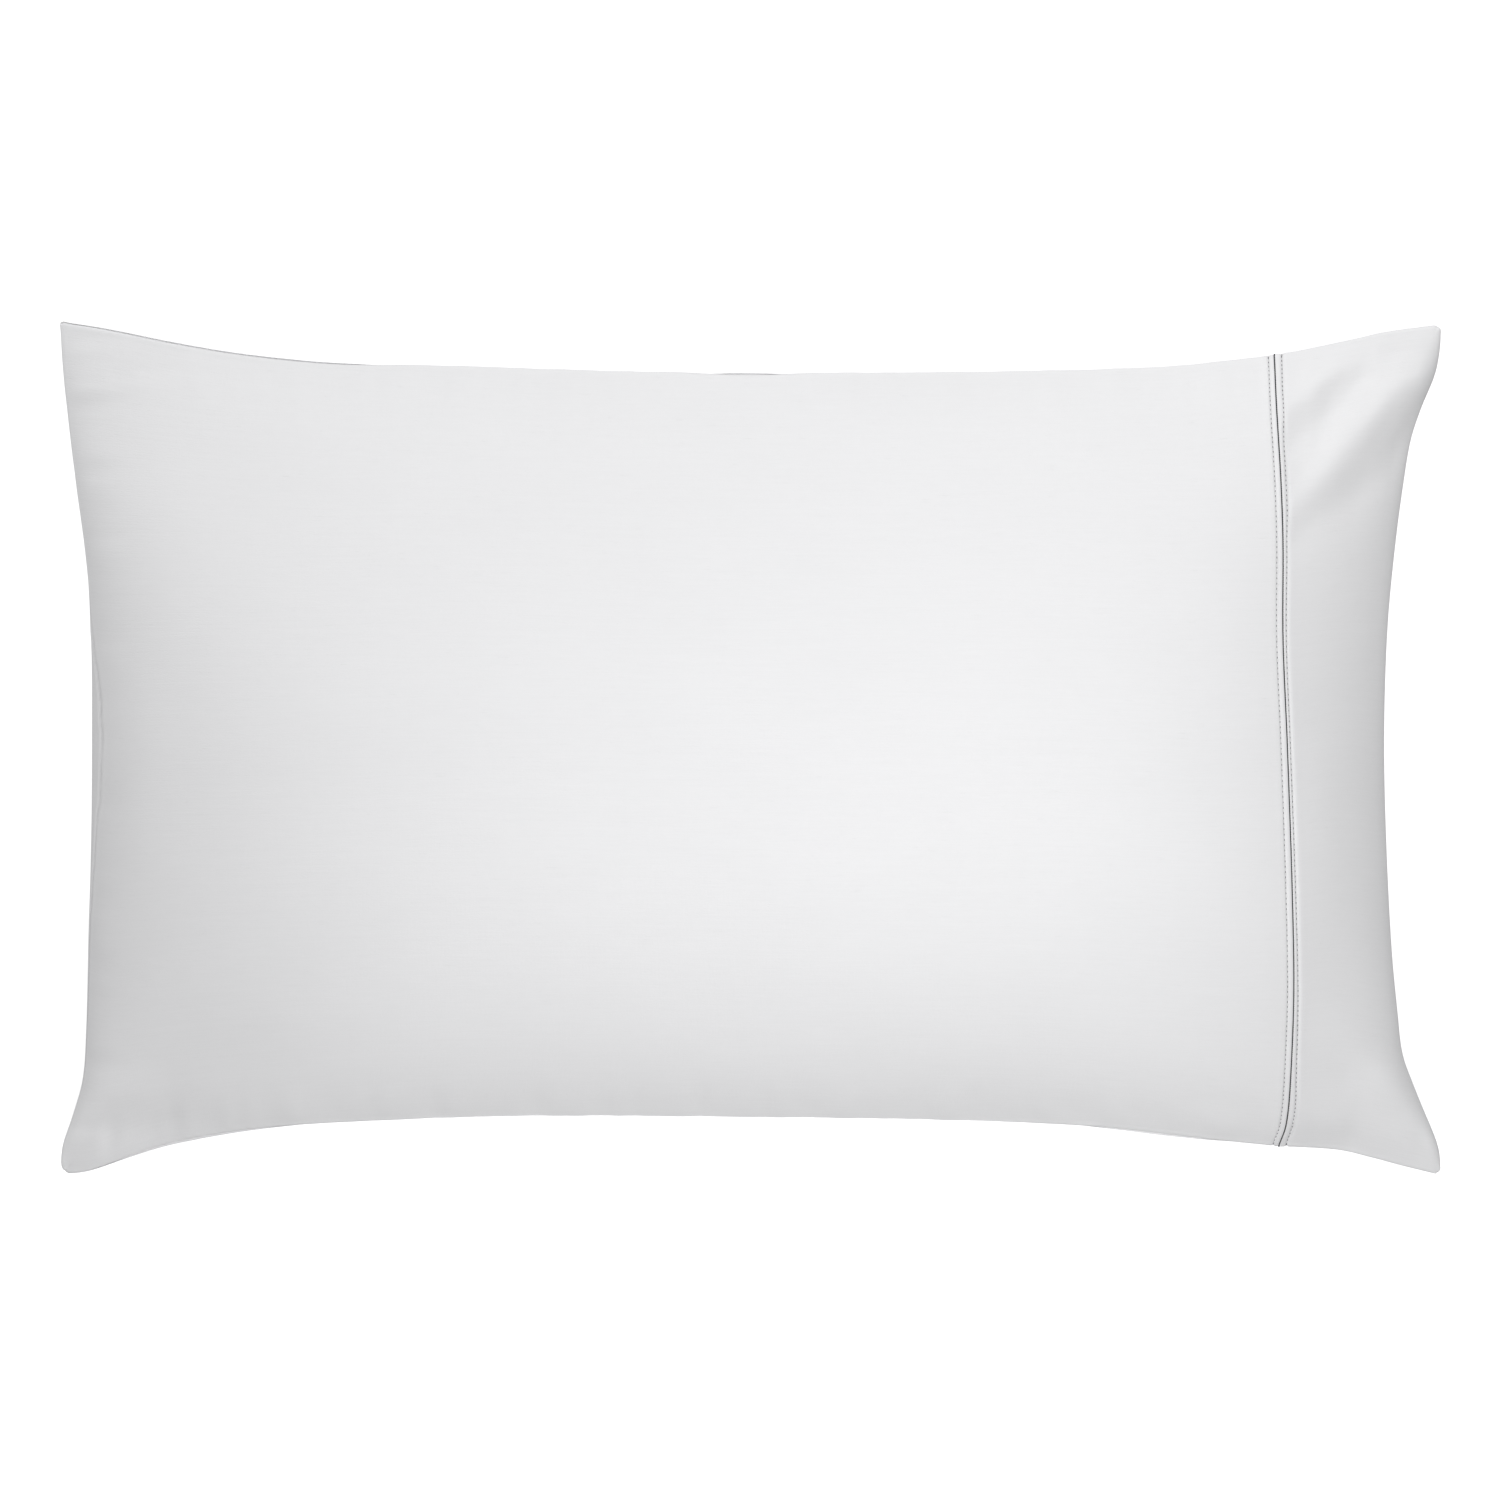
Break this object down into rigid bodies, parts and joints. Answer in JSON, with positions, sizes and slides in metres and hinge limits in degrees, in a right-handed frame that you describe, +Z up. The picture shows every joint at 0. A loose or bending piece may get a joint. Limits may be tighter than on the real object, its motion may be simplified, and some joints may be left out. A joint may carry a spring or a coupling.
{
  "type": "filled pillowcase",
  "caption": "Filled white pillowcase lying on its back, crowned, with drawn-in sides and flat corner ears, and a deep cuff sewn on over a dark cord.",
  "frame": {"origin": "on the surface that the pillow lies on, under the middle of its seam outline", "axes": "+X along the pillow to the cuffed end, +Y across it, +Z up out of its front face"},
  "size_m": [0.7925, 0.4882, 0.168],
  "materials": {
    "case_cloth": "white cotton sateen with fine crosswise thread lines and a soft sheen",
    "cuff_cloth": "the same white cotton sateen, folded double",
    "cord_yarn": "matt charcoal cotton cord"
  },
  "bodies": {
    "root": {"pillow_body": "case_cloth", "cuff": "cuff_cloth", "trim_cord": "cord_yarn"}
  },
  "joints": []
}
